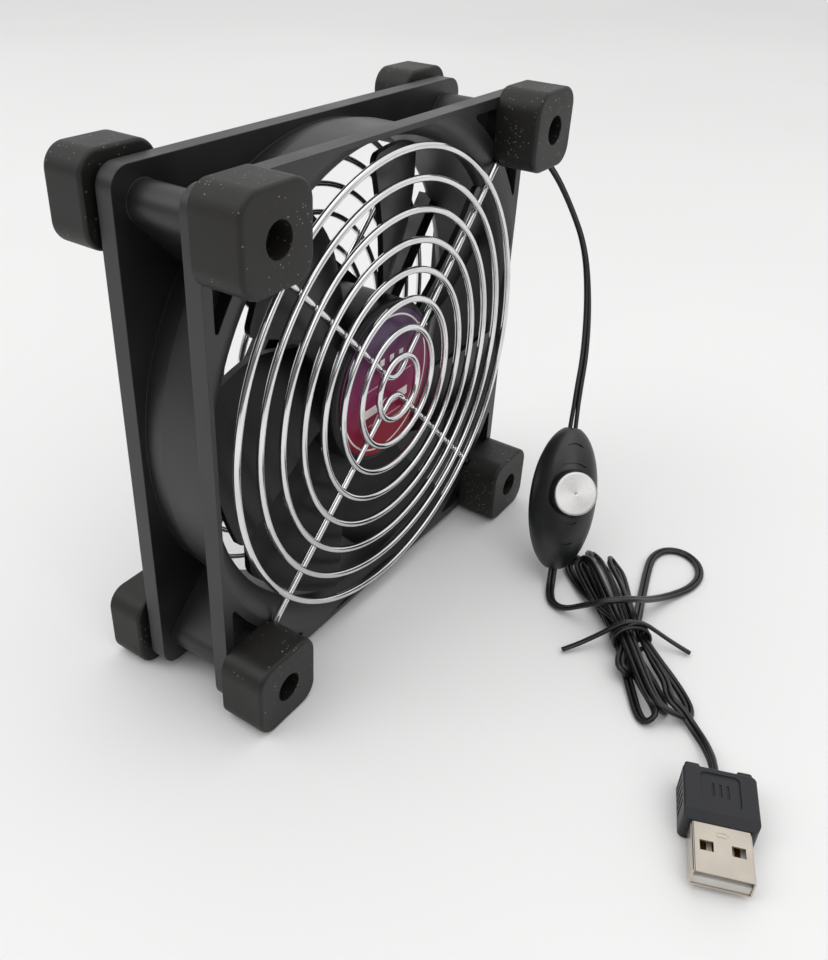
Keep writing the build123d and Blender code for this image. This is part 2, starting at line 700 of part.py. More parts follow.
def plug_contacts():
    """Four gilt strips on the tongue's upper side."""
    height = SHELL_H - 2 * SHELL_T - 0.1
    length = SHELL_L - 3.0
    strip = Box(length, CONTACT_W, 0.16)
    span = CONTACT_PITCH * (CONTACTS - 1)
    return Compound([
        Pos(MOULD_L / 2 + length / 2 + 0.6, -span / 2 + CONTACT_PITCH * k, TONGUE_T - height / 2 + 0.1) * strip
        for k in range(CONTACTS)])


# ---------------------------------------------------------------- lead and hank

def tube(points, radius):
    """A round bar along straight runs joined by arcs, each as large as its two runs allow."""
    spots = [Vector(p) for p in points]
    radii = []
    for before, here, after in zip(spots, spots[1:], spots[2:]):
        turn = radians((here - before).get_angle(after - here))
        shorter = min((here - before).length, (after - here).length)
        radii.append(0.45 * shorter / tan(turn / 2))
    path = FilletPolyline(*points, radius=radii)
    start = Plane(path @ 0, z_dir=path % 0)
    body = sweep(start * Circle(radius), path=path)
    expected = Circle(radius).area * path.length
    print(f"tube {path.length:.1f} long, least radius {min(radii):.1f}, "
          f"volume ratio {body.volume / expected:.4f}")
    return body


def hank_place():
    return Pos(*HANK_LOW_END, 0) * Rot(0, 0, HANK_TURN)


def cord_hank():
    """The outer shape of the folded, tied spare lead, with the holes that its two ends run into."""
    low, high, waist = HANK_LOWER_W / 2, HANK_UPPER_W / 2, HANK_WAIST_W / 2
    half = [
        (0, 0), (1.2, low * 0.7), (5.0, low), (HANK_WAIST - 11, low * 0.92),
        (HANK_WAIST - TIE_L / 2, waist), (HANK_WAIST + TIE_L / 2, waist),
        (HANK_L - 9, high), (HANK_L - 3.0, high * 0.94), (HANK_L, high * 0.5)]
    outline = half + [(x, -y) for x, y in reversed(half) if y]
    body = extrude(make_face(Polyline(*outline, close=True)), amount=HANK_H)
    body = fillet(body.faces().sort_by(Axis.Z)[-1].edges(), 1.6)
    body = hank_place() * Pos(0, 0, 0.05) * body
    return body - tube(LOOP_LEAD, LEAD_R + 0.05) - tube(PLUG_LEAD, LEAD_R + 0.05)


def cord_tie():
    """The wire tie round the hank's waist, with its two free ends."""
    wide = HANK_WAIST_W + 0.1
    tall = HANK_H + 0.1
    around = Box(TIE_L - 0.2, wide + 2 * TIE_T, tall + 2 * TIE_T) - Box(TIE_L, wide, tall)
    around &= Pos(0, 0, 2) * Box(TIE_L, 2 * wide, tall + 2 * TIE_T + 2 - 0.1)
    band = hank_place() * Pos(HANK_WAIST, 0, HANK_H / 2 + 0.05) * around
    return band + [tie_end(points) for points in TIE_ENDS]


def tie_end(points):
    path = FilletPolyline(*points, radius=3.0)
    return sweep(Plane(path @ 0, z_dir=path % 0) * Circle(TIE_WIRE_R), path=path)


def build_fan():
    save("fan_frame", fan_frame())
    save("front_guard", guard(-1))
    save("rear_guard", guard(1))
    names = ("top_left", "top_right", "bottom_left", "bottom_right")
    for name, (x, z) in zip(names, four_corners()):
        save(f"foot_front_{name}", foot(x, z, FOOT_FRONT_IN, -1))
        save(f"foot_rear_{name}", foot(x, z, FOOT_REAR_IN, 1))
    save("front_screws", screws(-1))
    save("rear_screws", screws(1))


def build_motor():
    save("impeller", impeller())
    save("rotor_label", slab(Circle(LABEL_R), HUB_FRONT - LABEL_T, HUB_FRONT))
    save("rotor_yoke", rotor_yoke())
    save("rotor_magnet", rotor_magnet())
    save("rotor_shaft", rotor_shaft())
    save("shaft_clip", shaft_clip())
    save("bearing_bush", ring(BUSH_R, BUSH_BORE_R, BUSH_FRONT, BUSH_REAR))
    save("bearing_cap", slab(Circle(BUSH_R), CAP_FRONT, TUBE_FLOOR - 0.02))
    save("stator_core", stator_core())
    save("stator_bobbins", stator_bobbins())
    save("stator_coils", stator_coils())
    save("motor_board", motor_board())
    save("board_parts", board_parts())
    save("rear_label", slab(Circle(REAR_LABEL_R), FACE, FACE + LABEL_T))
    save("lead_in_strut", fan_lead_inside())
    save("lead_clip", lead_clip())


def build_control():
    place = control_plane().location
    front, rear = control_shells()
    save("control_front_shell", front, place)
    save("control_rear_shell", rear, place)
    save("speed_knob", knob(), place)
    save("knob_cap", knob_cap(), place)
    save("control_spindle", control_spindle(), place)
    save("potentiometer", potentiometer(), place)
    save("control_board", control_board(), place)


def build_plug():
    place = plug_place()
    save("plug_overmould", plug_overmould(), place)
    save("plug_shell", plug_shell(), place)
    save("plug_tongue", plug_tongue(), place)
    save("plug_contacts", plug_contacts(), place)


def build_lead():
    still = Pos(0, 0, 0)
    save("fan_lead", tube(FAN_LEAD, LEAD_R), still)
    save("loop_lead", tube(LOOP_LEAD, LEAD_R), still)
    save("plug_lead", tube(PLUG_LEAD, LEAD_R), still)
    save("lead_hank", cord_hank(), still)
    save("hank_tie", cord_tie(), still)


os.makedirs("parts", exist_ok=True)
build_fan()
build_motor()
build_control()
build_plug()
build_lead()
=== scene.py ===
import json
from math import cos, pi, radians, sin, sqrt, tan

import bpy
from mathutils import Matrix, Vector


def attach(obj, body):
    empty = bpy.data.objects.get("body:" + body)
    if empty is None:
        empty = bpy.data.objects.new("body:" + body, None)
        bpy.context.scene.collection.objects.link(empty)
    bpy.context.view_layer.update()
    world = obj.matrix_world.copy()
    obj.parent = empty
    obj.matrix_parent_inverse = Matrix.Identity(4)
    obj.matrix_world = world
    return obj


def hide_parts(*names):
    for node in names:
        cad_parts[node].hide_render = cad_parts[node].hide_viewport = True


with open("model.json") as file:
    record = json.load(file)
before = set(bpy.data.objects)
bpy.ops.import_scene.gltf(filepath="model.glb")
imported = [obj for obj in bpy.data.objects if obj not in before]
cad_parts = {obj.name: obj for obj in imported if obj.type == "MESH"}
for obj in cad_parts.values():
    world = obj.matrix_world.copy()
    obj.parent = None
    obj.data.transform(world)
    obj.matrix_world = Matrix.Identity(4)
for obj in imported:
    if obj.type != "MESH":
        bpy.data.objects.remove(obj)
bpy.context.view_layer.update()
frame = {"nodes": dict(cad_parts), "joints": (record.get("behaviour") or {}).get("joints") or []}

# The frame's own places, in metres. Y runs through the fan from the intake face to the outlet face.
JOINTS = {joint["name"]: joint for joint in frame["joints"]}
HUB = Vector(JOINTS["rotor_spin"]["pos_m"])
KNOB = Vector(JOINTS["knob_turn"]["pos_m"])
KNOB_AXIS = Vector(JOINTS["knob_turn"]["axis"])

# Camera at the photograph's view
CAMERA_AT = Vector((-0.17060, -0.12465, 0.16898))
CAMERA_BACK = Vector((-0.70251, -0.47028, 0.53415))
CAMERA_UP = Vector((0.42081, 0.33079, 0.84469))
CAMERA_LENS = 35.47
CAMERA_SHIFT = (0.0388, -0.0208)

# Light: the room's colours on the camera's side and on the bright far side, which way that is, and
# the soft lights' places, sizes and power
ROOM_NEAR = (0.14, 0.142, 0.145)
ROOM_FAR = (0.96, 0.96, 0.96)
FAR_SIDE = (0.50, 0.34, 0.80)
LIGHTS = [
    ("overhead", (0.05, -0.10, 1.15), 1.0, 2.3),
    ("left", (-0.78, 0.55, 1.02), 0.8, 3.4),
    ("front", (-0.50, -0.95, 0.80), 0.8, 2.6),
]

# Wire guards
HOLE = 0.0525
WIRE_R = 0.00082
RINGS = 8
RING_IN_R = 0.0081
RING_OUT_R = 0.056
GUARD_INNER_Y = 0.0159
GUARD_OUTER_Y = 0.0146
SPOKE_INNER_Y = 0.01465
SPOKE_OUTER_Y = 0.01335
SPOKE_FLAT_AT = 0.0425
SPOKE_MEET_Z = 0.0009
SPOKE_BEND_R = 0.0045
EYE_R = 0.0034

# Lead: two round cores side by side, which part a little where they enter the speed control
LEAD_W = 0.0024
LEAD_T = 0.00122
CORES_APART = 0.0008
# Over this length before the plug it turns from lying flat onto its edge
TURNS_ON_EDGE = 0.038
STEP = 0.001
FAN_LEAD_LENGTH = 0.112
USB_LEAD_LENGTH = 0.63
# Route of the lead from the clip on the frame to the top of the speed control.
FAN_LEAD = [
    (0.06002, 0.0112, 0.1019),
    (0.0632, 0.0112, 0.10583),
    (0.0662, 0.0065, 0.1090),
    (0.0692, -0.0005, 0.1092),
    (0.0715, -0.0085, 0.1060),
    (0.0733, -0.0158, 0.0994),
    (0.0754, -0.0215, 0.0900),
    (0.0755, -0.0275, 0.0795),
    (0.0725, -0.0320, 0.0665),
    (0.0640, -0.0370, 0.0540),
    (0.05421, -0.0405, 0.04558),
    (0.0486, -0.0429, 0.03583),
]
# Route of the lead on the table, from the foot of the speed control to the tied hank.
LOOP_LEAD = [
    (0.03162, -0.05018, 0.00632),
    (0.02867, -0.05144, 0.00119),
    (0.0244, -0.0531, 0.0007),
    (0.0206, -0.0556, 0.0007),
    (0.0196, -0.0595, 0.0014),
    (0.0196, -0.0645, 0.0053),
    (0.0200, -0.0698, 0.0092),
    (0.0252, -0.0749, 0.0092),
    (0.0310, -0.0772, 0.0060),
    (0.0385, -0.0792, 0.0026),
    (0.0450, -0.0818, 0.0010),
    (0.0510, -0.0842, 0.0007),
    (0.0575, -0.0844, 0.0007),
    (0.0628, -0.0814, 0.0007),
    (0.0650, -0.0762, 0.0007),
    (0.0626, -0.0716, 0.0007),
    (0.0570, -0.0700, 0.0007),
    (0.0506, -0.0712, 0.0007),
    (0.0435, -0.0730, 0.0007),
    (0.0360, -0.0749, 0.0009),
    (0.0285, -0.0769, 0.0022),
    (0.0215, -0.0788, 0.0040),
]
# Route of the lead from the hank to the plug.
PLUG_LEAD = [
    (0.0034, -0.0942, 0.0036),
    (0.0022, -0.0982, 0.0029),
    (-0.0002, -0.1022, 0.0015),
    (-0.0039, -0.1062, 0.0017),
    (-0.01049, -0.10986, 0.0039),
    (-0.0159, -0.11194, 0.0039),
]

# Tied hank of spare lead, in its own frame: along it from the low end, across it, and up
HANK_LOW_END = (-0.0034, -0.0976)
HANK_TURN = 40.8
HANK_WAIST = 0.029
# Its turns, each from the waist to a tip and back: reach from the waist (negative towards the low
# end), sideways place of the strand going out and of the one coming back, and their heights.
HANK_TURNS = [
    (-0.0260, -0.0072, 0.0018, 0.0012, 0.0044),
    (0.0326, 0.0074, 0.0040, 0.0008, 0.0030),
    (-0.0262, 0.0052, 0.0028, 0.0008, 0.0030),
    (0.0300, 0.0058, 0.0022, 0.0032, 0.0048),
    (-0.0236, 0.0030, -0.0020, 0.0042, 0.0010),
    (0.0346, 0.0016, -0.0034, 0.0034, 0.0010),
    (-0.0122, 0.0060, 0.0036, 0.0040, 0.0012),
    (0.0306, -0.0062, -0.0040, 0.0010, 0.0040),
]
# Where the lead comes to the waist before the first turn, and how it leaves after the last one:
# distance from the low end, sideways place and height.
HANK_START = (-0.0010, 0.0050)
HANK_LEAVES = [(0.0200, -0.0030, 0.0026), (0.0125, -0.0036, 0.0030)]
# The folds at their tips are at least this wide from the middle to either side
FOLD_R = 0.0019
# Where the strands cross the waist between one turn and the next: sideways place and height.
WAIST_SPOTS = [
    (0.0012, 0.0056), (0.0036, 0.0030), (0.0022, 0.0010), (0.0026, 0.0052), (0.0002, 0.0010),
    (0.0000, 0.0034), (-0.0018, 0.0012), (-0.0026, 0.0038)]

# Flat wire tie round the hank's waist: where its turns lie along the hank and how far they lean, the
# middle and half size of a turn, and its two ends, which cross on top of the hank and part.
TIE_W = 0.0015
TIE_T = 0.0009
TIE_TURNS = [(0.0268, 0.0011), (0.0288, -0.0006)]
TIE_CENTRE = (0.0006, 0.0040)
TIE_HALF = (0.0048, 0.0032)
TIE_ENDS = [
    [(0.0203, -0.0806, 0.0046), (0.0195, -0.0796, 0.0074), (0.0178, -0.0776, 0.0083),
     (0.0158, -0.0753, 0.0070), (0.0136, -0.0730, 0.0050), (0.0112, -0.0706, 0.0032),
     (0.0086, -0.0684, 0.0019), (0.0056, -0.0659, 0.0010)],
    [(0.0158, -0.0766, 0.0048), (0.0168, -0.0774, 0.0074), (0.0189, -0.0792, 0.0080),
     (0.0208, -0.0812, 0.0070), (0.0222, -0.0840, 0.0050), (0.0232, -0.0870, 0.0032),
     (0.0239, -0.0900, 0.0019), (0.0243, -0.0928, 0.0010)],
]

# Speed knob: its disc, and how far that stands in front of the joint's own place
DISC_R = 0.00595
DISC_OUT = 0.00245

# Label on the hub: a thin ring near its edge, a row of upright blocks, a bar and two thin lines.
# A row of marks is its height above the hub's centre, its half height, and its left and right end.
LABEL_RING = (0.01705, 0.01750)
# A block fills this part of the pitch, from and to
BLOCK_PITCH = 0.0040
BLOCK_FILL = (0.28, 0.72)
BLOCK_ROW = (0.0062, 0.0009, -0.0080, 0.0080)
BAR = (-0.0054, 0.0012, -0.0095, 0.0095)
UPPER_LINE = (0.0006, 0.0002, -0.0110, 0.0110)
LOWER_LINE = (-0.0092, 0.0002, -0.0070, 0.0070)


DUST = (0.36, 0.345, 0.31)


# ---------------------------------------------------------------- node helpers

def add(tree, kind, inputs=None, **settings):
    """A node with its settings; an input is a value, or a socket to link from."""
    node = tree.nodes.new(kind)
    for key, value in settings.items():
        setattr(node, key, value)
    for key, value in (inputs or {}).items():
        if isinstance(value, bpy.types.NodeSocket):
            tree.links.new(value, node.inputs[key])
        else:
            node.inputs[key].default_value = value
    return node


def maths(tree, operation, *values, clamp=False):
    node = add(tree, "ShaderNodeMath", dict(enumerate(values)), operation=operation, use_clamp=clamp)
    return node.outputs[0]


def between(tree, value, low, high, out_low=0.0, out_high=1.0):
    """The value's range from low to high, mapped smoothly to another range and held there."""
    node = add(tree, "ShaderNodeMapRange", {
        "Value": value, "From Min": low, "From Max": high, "To Min": out_low, "To Max": out_high},
        interpolation_type="SMOOTHSTEP")
    return node.outputs["Result"]


def blend_colours(tree, factor, first, second):
    node = add(tree, "ShaderNodeMix", data_type="RGBA")
    pairs = ((0, factor), (6, first), (7, second))
    for index, value in pairs:
        if isinstance(value, bpy.types.NodeSocket):
            tree.links.new(value, node.inputs[index])
        else:
            node.inputs[index].default_value = (*value, 1) if index else value
    return node.outputs[2]


def noise(tree, place, scale, detail=2.0, stretch=None):
    if stretch:
        place = add(tree, "ShaderNodeMapping", {"Vector": place, "Scale": stretch}).outputs[0]
    node = add(tree, "ShaderNodeTexNoise", {"Vector": place, "Scale": scale, "Detail": detail})
    return node.outputs["Fac"]


def new_material(name, **sockets):
    """A material with one Principled shader; the sockets are the values that are the same all over."""
    material = bpy.data.materials.new(name)
    material.use_nodes = True
    shader = material.node_tree.nodes["Principled BSDF"]
    for key, value in sockets.items():
        shader.inputs[key.replace("_", " ")].default_value = value
    place = add(material.node_tree, "ShaderNodeTexCoord").outputs["Object"]
    return material, material.node_tree, shader, place


def bump(tree, shader, height, distance, strength=1.0):
    node = add(tree, "ShaderNodeBump", {
        "Height": height, "Distance": distance, "Strength": strength})
    tree.links.new(node.outputs[0], shader.inputs["Normal"])


def eased(tree, shader, height, distance, edge):
    """Bump on top of a normal that rounds sharp edges by a small radius."""
    soft = add(tree, "ShaderNodeBevel", {"Radius": edge}, samples=4)
    node = add(tree, "ShaderNodeBump", {
        "Height": height, "Distance": distance, "Strength": 1.0, "Normal": soft.outputs[0]})
    tree.links.new(node.outputs[0], shader.inputs["Normal"])


def moulded(name, dark, light, roughness, spread=0.06, grain=2600, depth=6e-6, dust=0.0, edge=0.0, **sockets):
    """Moulded plastic or rubber: slow colour and gloss changes, a fine grain, and dust if any."""
    material, tree, shader, place = new_material(name, **sockets)
    patches = noise(tree, place, 55, 4)
    colour = blend_colours(tree, between(tree, patches, 0.35, 0.68), dark, light)
    rough = between(tree, patches, 0.3, 0.7, roughness - spread, roughness + spread)
    if dust:
        specks = specks_of(tree, place, dust)
        colour = blend_colours(tree, specks, colour, DUST)
        rough = maths(tree, "MAXIMUM", rough, maths(tree, "MULTIPLY", specks, 0.9))
    tree.links.new(colour, shader.inputs["Base Color"])
    tree.links.new(rough, shader.inputs["Roughness"])
    if edge:
        eased(tree, shader, noise(tree, place, grain, 3), depth, edge)
    else:
        bump(tree, shader, noise(tree, place, grain, 3), depth)
    return material


def specks_of(tree, place, amount):
    """A mask of scattered specks of dust, more in some patches than in others."""
    total = None
    for scale, size in ((560, 0.17), (1300, 0.26)):
        cells = add(tree, "ShaderNodeTexVoronoi", {"Vector": place, "Scale": scale})
        dot = between(tree, cells.outputs["Distance"], size, size * 0.2, 0.0, 0.7)
        chosen = add(tree, "ShaderNodeSeparateColor", {"Color": cells.outputs["Color"]}).outputs[0]
        patch = between(tree, noise(tree, place, 140, 3), 0.40, 0.68, 1 - amount * 0.12, 1 - amount * 0.9)
        keep = maths(tree, "GREATER_THAN", chosen, patch)
        dot = maths(tree, "MULTIPLY", dot, keep)
        total = dot if total is None else maths(tree, "MAXIMUM", total, dot)
    return total


def metal(name, colour, roughness, spread=0.04, streak=None, depth=2e-6, **sockets):
    """Bare or plated metal with slow changes of gloss, and drawn streaks where a direction is given."""
    material, tree, shader, place = new_material(name, Metallic=1.0, **sockets)
    patches = noise(tree, place, 90, 4)
    darker = tuple(c * 0.86 for c in colour)
    colours = blend_colours(tree, between(tree, patches, 0.35, 0.7), darker, colour)
    tree.links.new(colours, shader.inputs["Base Color"])
    rough = between(tree, patches, 0.3, 0.7, roughness - spread, roughness + spread)
    tree.links.new(rough, shader.inputs["Roughness"])
    bump(tree, shader, noise(tree, place, 1800, 3, streak), depth)
    return material


def wound(name, dark, light, pitch, depth, **sockets):
    """Turns or laminations side by side: fine grooves across the object's depth, with the colour darker in
    the grooves. Between a coil's wire turns that darkening is painted shade; between laminations it is their
    dark joints.
    """
    material, tree, shader, place = new_material(name, **sockets)
    deep = add(tree, "ShaderNodeSeparateXYZ", {"Vector": place}).outputs["Y"]
    wave = maths(tree, "SINE", maths(tree, "MULTIPLY", deep, 2 * pi / pitch))
    ridge_and_groove_shade = between(tree, wave, -1.0, 0.4)
    # Colour darkens where the bump is low: painted shade between a coil's wire turns, the real dark joints
    # between laminations
    tree.links.new(blend_colours(tree, ridge_and_groove_shade, dark, light), shader.inputs["Base Color"])
    bump(tree, shader, ridge_and_groove_shade, depth)
    return material


def board_lacquer():
    """Green solder mask over tracks that show as slightly raised, lighter lines."""
    material, tree, shader, place = new_material("board_lacquer", Roughness=0.28)
    cells = add(tree, "ShaderNodeTexVoronoi", {"Vector": place, "Scale": 330.0},
                distance="MANHATTAN", feature="DISTANCE_TO_EDGE")
    track = between(tree, cells.outputs["Distance"], 0.10, 0.04)
    colour = blend_colours(tree, track, (0.010, 0.085, 0.030), (0.028, 0.16, 0.055))
    tree.links.new(colour, shader.inputs["Base Color"])
    bump(tree, shader, track, 2e-5)
    return material


def spun_metal():
    """A turned disc: fine rings about its own Z axis, which stretch every highlight into rays."""
    material, tree, shader, place = new_material("spun_aluminium", Metallic=1.0, Anisotropic=0.75)
    flat = add(tree, "ShaderNodeVectorMath", {0: place, 1: (1, 1, 0)}, operation="MULTIPLY").outputs[0]
    radius = add(tree, "ShaderNodeVectorMath", {0: flat}, operation="LENGTH").outputs["Value"]
    rings = add(tree, "ShaderNodeTexNoise", {"W": maths(tree, "MULTIPLY", radius, 9000), "Scale": 1.0,
                                             "Detail": 4.0}, noise_dimensions="1D").outputs["Fac"]
    colour = blend_colours(tree, between(tree, rings, 0.35, 0.65), (0.62, 0.61, 0.595), (0.80, 0.79, 0.775))
    tree.links.new(colour, shader.inputs["Base Color"])
    tree.links.new(between(tree, rings, 0.3, 0.7, 0.26, 0.40), shader.inputs["Roughness"])
    rays = add(tree, "ShaderNodeTangent", direction_type="RADIAL", axis="Z").outputs[0]
    tree.links.new(rays, shader.inputs["Tangent"])
    bump(tree, shader, rings, 4e-6)
    return material


def inside(tree, value, low, high, soft=0.00012):
    """1 where the value lies between two limits, with a short soft edge."""
    up = between(tree, value, low - soft, low + soft)
    down = between(tree, value, high + soft, high - soft)
    return maths(tree, "MULTIPLY", up, down)


def printed_label():
    """The hub's glossy label: purple above, dark red below, a thin ring and plain printed marks."""
    material, tree, shader, place = new_material("label_print", Roughness=0.30, Specular_IOR_Level=0.22)
    parts = add(tree, "ShaderNodeSeparateXYZ", {"Vector": place})
    across = maths(tree, "SUBTRACT", parts.outputs["X"], HUB.x)
    up = maths(tree, "SUBTRACT", parts.outputs["Z"], HUB.z)
    radius = maths(tree, "SQRT", maths(tree, "ADD", maths(tree, "MULTIPLY", across, across),
                                       maths(tree, "MULTIPLY", up, up)))
    low = blend_colours(tree, between(tree, up, -0.014, 0.001), (0.290, 0.008, 0.028), (0.235, 0.014, 0.090))
    base = blend_colours(tree, between(tree, up, -0.001, 0.015), low, (0.088, 0.048, 0.115))

    def row(height, half, left, right):
        """The box that a row of marks fills."""
        rows = inside(tree, up, height - half, height + half, 0.00008)
        return maths(tree, "MULTIPLY", rows, inside(tree, across, left, right))

    turn = maths(tree, "FRACT", maths(tree, "DIVIDE", maths(tree, "ADD", across, 1.0), BLOCK_PITCH))
    blocks = maths(tree, "MULTIPLY", inside(tree, turn, *BLOCK_FILL, 0.02), row(*BLOCK_ROW))
    ring = inside(tree, radius, *LABEL_RING, 0.00006)
    marks = maths(tree, "MAXIMUM", maths(tree, "MAXIMUM", blocks, row(*BAR)), ring)
    lines = maths(tree, "MAXIMUM", row(*UPPER_LINE), row(*LOWER_LINE))
    colour = blend_colours(tree, maths(tree, "MULTIPLY", lines, 0.55), base, (0.80, 0.60, 0.64))
    colour = blend_colours(tree, marks, colour, (0.92, 0.86, 0.83))
    tree.links.new(colour, shader.inputs["Base Color"])
    bump(tree, shader, marks, 6e-6)
    return material


# ---------------------------------------------------------------- mesh helpers

def mesh_piece(name, points, faces, smooth=True):
    mesh = bpy.data.meshes.new(name)
    mesh.from_pydata(points, [], faces)
    mesh.polygons.foreach_set("use_smooth", [smooth] * len(mesh.polygons))
    piece = bpy.data.objects.new(name, mesh)
    bpy.context.scene.collection.objects.link(piece)
    return piece


def swept(line, section, side, closed=False, settle=0.0, offsets=None, on_edge=0):
    """Points and faces of a section swept along a line. Its width turns as little as it can, and
    settles towards lying flat by the given share per step, or over the last on_edge steps towards
    standing up. Offsets move it along its width."""
    count = len(line)
    points, faces = [], []
    for i, spot in enumerate(line):
        after = line[(i + 1) % count] if closed or i < count - 1 else spot
        before = line[i - 1] if closed or i else spot
        along = (after - before).normalized()
        side = (side - along * side.dot(along)).normalized()
        level = along.cross(Vector((0, 0, 1)))
        if settle and level.length > 0.3:
            level = level.normalized() if level.dot(side) > 0 else -level.normalized()
            turn = radians(85) * max(0.0, 1 - (count - 1 - i) / on_edge) if on_edge else 0.0
            level = level * cos(turn) + Vector((0, 0, 1)) * sin(turn)
            side = side.lerp(level, settle + 0.2 * sin(turn)).normalized()
        up = along.cross(side)
        aside = offsets[i] if offsets else 0.0
        points += [spot + side * (a + aside) + up * b for a, b in section]
    ring = len(section)
    for i in range(count if closed else count - 1):
        here, there = i * ring, (i + 1) % count * ring
        faces += [(here + k, here + (k + 1) % ring, there + (k + 1) % ring, there + k) for k in range(ring)]
    if not closed:
        faces.append(tuple(reversed(range(ring))))
        faces.append(tuple((count - 1) * ring + k for k in range(ring)))
    return points, faces


def round_section(radius, count=14):
    return [(radius * cos(2 * pi * k / count), radius * sin(2 * pi * k / count)) for k in range(count)]


def flat_section(width, thickness, count=8):
    """Outline of a flat band with round edges."""
    radius = thickness / 2
    centre = width / 2 - radius
    arc = [radians(-90 + 180 * k / count) for k in range(count + 1)]
    right = [(centre + radius * cos(a), radius * sin(a)) for a in arc]
    return right + [(-x, -y) for x, y in right]


def joined(parts):
    """One list of points and faces from several."""
    points, faces = [], []
    for more, shapes in parts:
        faces += [tuple(len(points) + k for k in face) for face in shapes]
        points += more
    return points, faces


def rounded_line(points, radii, steps=10):
    """Straight runs joined by arcs."""
    spots = [Vector(p) for p in points]
    line = [spots[0]]
    for before, here, after, radius in zip(spots, spots[1:], spots[2:], radii):
        to, away = (before - here).normalized(), (after - here).normalized()
        half = to.angle(away) / 2
        centre = here + (to + away).normalized() * (radius / sin(half))
        first = here + to * (radius / tan(half))
        last = here + away * (radius / tan(half))
        turn = (first - centre).rotation_difference(last - centre)
        for k in range(steps + 1):
            part = Matrix.Identity(3).to_quaternion().slerp(turn, k / steps)
            line.append(centre + part @ (first - centre))
    return line + [spots[-1]]


def smooth_route(points, step=STEP):
    """The smooth line of a free lead: a NURBS spline with the route's points, read back evenly."""
    curve = bpy.data.curves.new("route", "CURVE")
    curve.dimensions = "3D"
    curve.resolution_u = 16
    spline = curve.splines.new("NURBS")
    spline.points.add(len(points) - 1)
    for control, point in zip(spline.points, points):
        control.co = (*point, 1)
    spline.order_u = 3
    spline.use_endpoint_u = True
    holder = bpy.data.objects.new("route", curve)
    mesh = bpy.data.meshes.new_from_object(holder)
    raw = [v.co.copy() for v in mesh.vertices]
    bpy.data.objects.remove(holder)
    bpy.data.curves.remove(curve)
    bpy.data.meshes.remove(mesh)
    return evenly(raw, step)


def evenly(raw, step):
    """The same line with its points a step apart."""
    line, left = [raw[0]], step
    for a, b in zip(raw, raw[1:]):
        gap = (b - a).length
        while gap >= left:
            a = a.lerp(b, left / gap)
            line.append(a)
            gap = (b - a).length
            left = step
        left -= gap
    if (raw[-1] - line[-1]).length < step / 2:
        line.pop()
    return line + [raw[-1]]


def paint(piece, material):
    piece.data.materials.clear()
    piece.data.materials.append(material)
    return piece


# ---------------------------------------------------------------- guards

def guard_wires(name, node, side, material):
    """Rings in a shallow dome, two bent spoke wires and four eyes round the screws."""
    wire = round_section(WIRE_R)
    parts = []
    for i in range(RINGS):
        part = i / (RINGS - 1)
        radius = RING_IN_R + part * (RING_OUT_R - RING_IN_R)
        depth = side * (GUARD_INNER_Y + part * (GUARD_OUTER_Y - GUARD_INNER_Y))
        parts.append(hoop(HUB + Vector((0, depth, 0)), radius, wire))
    reach = HOLE - EYE_R / sqrt(2)
    for up in (1, -1):
        flat = [HUB + Vector((x, side * SPOKE_OUTER_Y, up * abs(x))) for x in
                (-reach, -SPOKE_FLAT_AT, SPOKE_FLAT_AT, reach)]
        bend = HUB + Vector((0, side * SPOKE_INNER_Y, up * SPOKE_MEET_Z))
        radii = (SPOKE_BEND_R * 3, SPOKE_BEND_R, SPOKE_BEND_R * 3)
        line = rounded_line([*flat[:2], bend, *flat[2:]], radii)
        parts.append(swept(line, wire, Vector((0, 1, 0))))
        for x in (-HOLE, HOLE):
            parts.append(hoop(HUB + Vector((x, side * SPOKE_OUTER_Y, up * HOLE)), EYE_R, wire))
    piece = paint(mesh_piece(name, *joined(parts)), material)
    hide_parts(node)
    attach(piece, "fan")


def hoop(centre, radius, section):
    count = 48 + int(radius * 2600)
    turns = [2 * pi * k / count for k in range(count)]
    line = [centre + Vector((radius * cos(a), 0, radius * sin(a))) for a in turns]
    return swept(line, section, Vector((0, 1, 0)), closed=True)


# ---------------------------------------------------------------- leads

def hank_point(along, across, height):
    turn = radians(HANK_TURN)
    x = HANK_LOW_END[0] + along * cos(turn) - across * sin(turn)
    y = HANK_LOW_END[1] + along * sin(turn) + across * cos(turn)
    return x, y, height


def hank_points():
    """Each turn leaves the waist, fans out, opens a little at its tip and comes back beside itself."""
    points = []
    waist = HANK_START
    for turn, spot in zip(HANK_TURNS, WAIST_SPOTS):
        reach, out, back, out_height, back_height = turn
        middle = (out + back) / 2
        half = max(abs(out - back) / 2, FOLD_R) * (1 if out > back else -1)
        for share, side, height, start in (
                (0.30, out, out_height, waist), (0.62, out, out_height, waist),
                (0.90, middle + half, out_height, waist), (1.02, middle + half * 0.6, out_height, waist),
                (1.02, middle - half * 0.6, back_height, spot), (0.90, middle - half, back_height, spot),
                (0.60, back, back_height, spot), (0.28, back, back_height, spot),
                (0.0, back, back_height, spot)):
            fan = min(1.0, share * 1.45)
            across = start[0] + (side - start[0]) * fan
            up = start[1] + (height - start[1]) * fan
            points.append(hank_point(HANK_WAIST + reach * share, across, up))
        waist = spot
    return points + [hank_point(*place) for place in HANK_LEAVES]


